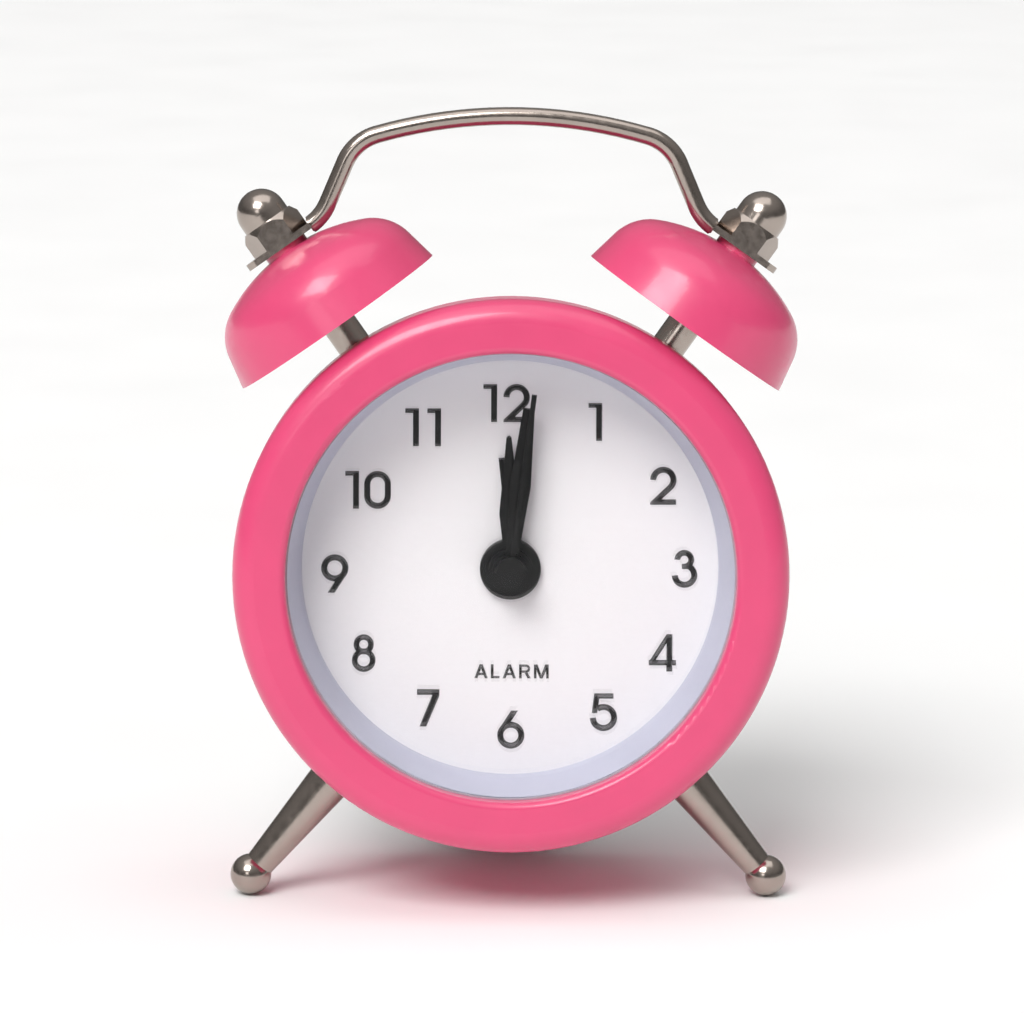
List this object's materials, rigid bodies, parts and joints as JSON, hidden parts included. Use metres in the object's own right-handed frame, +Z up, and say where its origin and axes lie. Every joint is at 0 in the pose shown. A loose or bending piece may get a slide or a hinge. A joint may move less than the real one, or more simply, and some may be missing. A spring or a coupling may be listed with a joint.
{
  "type": "alarm clock",
  "caption": "Small twin-bell quartz alarm clock with a round bezel, wire handle, ball-ended legs and a rear prop, with its movement inside.",
  "frame": {"origin": "on the table, under the middle of the clock's bounding box", "axes": "+Z up, dial facing -Y, +X to the right seen from the front; the clock leans back 6 degrees"},
  "size_m": [0.0608, 0.0353, 0.0841],
  "materials": {
    "pink_paint": "smooth semi-gloss pink paint over pressed steel",
    "nickel": "bright nickel plate",
    "clear_lens": "clear polished plastic",
    "grey_gasket": "grey soft plastic",
    "white_ring": "satin off-white plastic",
    "dial_white": "white printed card",
    "black_plastic": "satin moulded black plastic",
    "black_hands": "black enamel",
    "ivory_plastic": "moulded off-white plastic",
    "wheel_plastic": "moulded acetal",
    "brass": "turned brass",
    "steel": "zinc-plated steel",
    "magnet": "sintered magnet",
    "copper": "enamelled copper wire",
    "bobbin_green": "moulded green plastic",
    "board_green": "green solder mask",
    "epoxy": "black epoxy",
    "cell_steel": "nickel-plated steel can"
  },
  "bodies": {
    "case": {"bezel": "pink_paint", "lens": "clear_lens", "lens_gasket": "grey_gasket", "dial_ring": "white_ring", "dial": "dial_white", "drum": "pink_paint", "back_cover": "black_plastic", "left_bell": "pink_paint", "right_bell": "pink_paint", "left_bell_post": "nickel", "right_bell_post": "nickel", "bell_screws": "steel", "acorn_nuts": "nickel", "handle": "nickel", "left_leg": "nickel", "right_leg": "nickel", "leg_screws": "steel", "screw_washers": "steel", "cover_screws": "steel", "rear_housing": "ivory_plastic", "middle_plate": "ivory_plastic", "front_housing": "ivory_plastic", "coil": "copper", "bobbin": "bobbin_green", "coil_core": "steel", "stator": "steel", "alarm_contact_spring": "brass", "circuit_board": "board_green", "chip": "epoxy", "quartz_crystal": "steel", "buzzer": "brass", "button_cell": "cell_steel", "plus_contact": "brass", "minus_contact": "brass"},
    "rotor": {"rotor": "magnet"},
    "fifth": {"fifth_wheel": "wheel_plastic"},
    "second": {"second_wheel": "brass", "second_hand": "black_hands"},
    "third": {"third_wheel": "wheel_plastic"},
    "centre": {"centre_wheel": "wheel_plastic"},
    "minute": {"minute_arbor": "brass", "minute_hand": "black_hands"},
    "time_set": {"minute_wheel": "wheel_plastic", "time_set_knob": "black_plastic"},
    "hour": {"hour_wheel": "wheel_plastic", "hour_hand": "black_hands"},
    "alarm_set": {"alarm_set_arbor": "wheel_plastic", "alarm_set_knob": "black_plastic"},
    "alarm": {"alarm_wheel": "wheel_plastic", "alarm_hand": "black_hands"},
    "switch": {"alarm_switch": "black_plastic"},
    "door": {"battery_door": "black_plastic"}
  },
  "joints": [
    {"name": "fifth_wheel_turn", "type": "hinge", "parent": "case", "child": "fifth", "pos_m": [0, -0.00037, 0.03007], "axis": [0, 0.9945, -0.1045], "continuous": true},
    {"name": "rotor_turn", "type": "hinge", "parent": "case", "child": "rotor", "pos_m": [-0.00459, -0.00037, 0.03007], "axis": [0, 0.9945, -0.1045], "continuous": true},
    {"name": "second_hand_turn", "type": "hinge", "parent": "case", "child": "second", "pos_m": [0, 0.00015, 0.03504], "axis": [0, 0.9945, -0.1045], "continuous": true},
    {"name": "third_wheel_turn", "type": "hinge", "parent": "case", "child": "third", "pos_m": [0, 0.00068, 0.04012], "axis": [0, 0.9945, -0.1045], "continuous": true},
    {"name": "centre_wheel_turn", "type": "hinge", "parent": "case", "child": "centre", "pos_m": [0, 0.00015, 0.03504], "axis": [0, 0.9945, -0.1045], "continuous": true},
    {"name": "minute_hand_turn", "type": "hinge", "parent": "case", "child": "minute", "pos_m": [0, 0.00015, 0.03504], "axis": [0, 0.9945, -0.1045], "continuous": true},
    {"name": "time_set_turn", "type": "hinge", "parent": "case", "child": "time_set", "pos_m": [0.0054, 0.00015, 0.03504], "axis": [0, 0.9945, -0.1045], "continuous": true},
    {"name": "hour_hand_turn", "type": "hinge", "parent": "case", "child": "hour", "pos_m": [0, 0.00015, 0.03504], "axis": [0, 0.9945, -0.1045], "continuous": true},
    {"name": "alarm_set_turn", "type": "hinge", "parent": "case", "child": "alarm_set", "pos_m": [-0.006, 0.00015, 0.03504], "axis": [0, 0.9945, -0.1045], "continuous": true},
    {"name": "alarm_hand_turn", "type": "hinge", "parent": "case", "child": "alarm", "pos_m": [0, 0.00015, 0.03504], "axis": [0, 0.9945, -0.1045], "continuous": true},
    {"name": "alarm_switch_slide", "type": "slide", "parent": "case", "child": "switch", "axis": [0, 0.1045, 0.9945], "range_m": [0, 0.003]},
    {"name": "battery_door_slide", "type": "slide", "parent": "case", "child": "door", "axis": [1, 0, 0], "range_m": [0, 0.01]}
  ],
  "couplings": [
    {"joint": "rotor_turn", "follows": "fifth_wheel_turn", "ratio": -7.5},
    {"joint": "second_hand_turn", "follows": "fifth_wheel_turn", "ratio": -0.25},
    {"joint": "third_wheel_turn", "follows": "fifth_wheel_turn", "ratio": 0.033333},
    {"joint": "centre_wheel_turn", "follows": "fifth_wheel_turn", "ratio": -0.0041667},
    {"joint": "time_set_turn", "follows": "minute_hand_turn", "ratio": -0.33333},
    {"joint": "hour_hand_turn", "follows": "minute_hand_turn", "ratio": 0.083333},
    {"joint": "alarm_hand_turn", "follows": "alarm_set_turn", "ratio": -0.33333}
  ]
}
